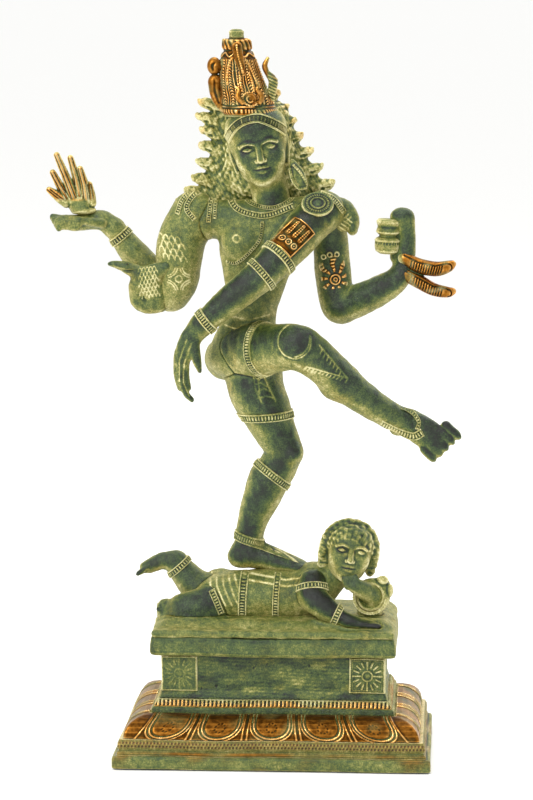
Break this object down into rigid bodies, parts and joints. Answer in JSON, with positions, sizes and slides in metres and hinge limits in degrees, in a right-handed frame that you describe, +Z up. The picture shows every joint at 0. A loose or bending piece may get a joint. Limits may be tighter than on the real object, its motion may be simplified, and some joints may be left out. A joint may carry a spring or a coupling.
{
  "type": "nataraja statue",
  "caption": "Cast brass dancing figure with three visible arms and one raised leg, standing on a prone dwarf over a hollow stepped pedestal.",
  "frame": {"origin": "middle of the pedestal's underside, on the surface the statue stands on", "axes": "+Z up, the figure faces -Y, +X is to the right of someone looking at its front"},
  "size_m": [0.2187, 0.11, 0.3799],
  "materials": {
    "patina": "green antique patina, pale in the recesses, satin",
    "patina_dark": "dark green antique patina, rubbed to a soft gloss",
    "rubbed_brass": "patina rubbed back to warm brass on the high points"
  },
  "bodies": {
    "root": {"plinth": "patina", "bead_step": "patina", "lotus_moulding": "rubbed_brass", "lotus_petals": "rubbed_brass", "fillet": "patina", "fluted_band": "rubbed_brass", "pedestal_die": "patina", "rosette_panels": "patina", "pedestal_cap": "patina", "ground_bed": "patina", "dwarf_body": "patina", "dwarf_head": "patina", "dwarf_prop_arm": "patina_dark", "dwarf_cheek_arm": "patina", "dwarf_cobra": "patina", "dwarf_lying_leg": "patina", "dwarf_raised_leg": "patina", "dwarf_trim": "patina", "standing_leg": "patina_dark", "raised_leg": "patina_dark", "torso": "patina", "head": "patina", "crown": "rubbed_brass", "crown_crest": "rubbed_brass", "hair_mane": "patina", "front_arm": "patina_dark", "rear_left_arm": "patina", "gold_fingers": "rubbed_brass", "rear_right_arm": "patina", "flame": "rubbed_brass", "drum": "patina", "serpent": "patina", "shoulder_scarf": "patina", "shoulder_ornament": "patina", "earring": "patina", "front_armlet": "rubbed_brass", "rear_armlet": "rubbed_brass", "arm_bands": "patina", "leg_bands": "patina", "necklaces": "patina"}
  },
  "joints": []
}
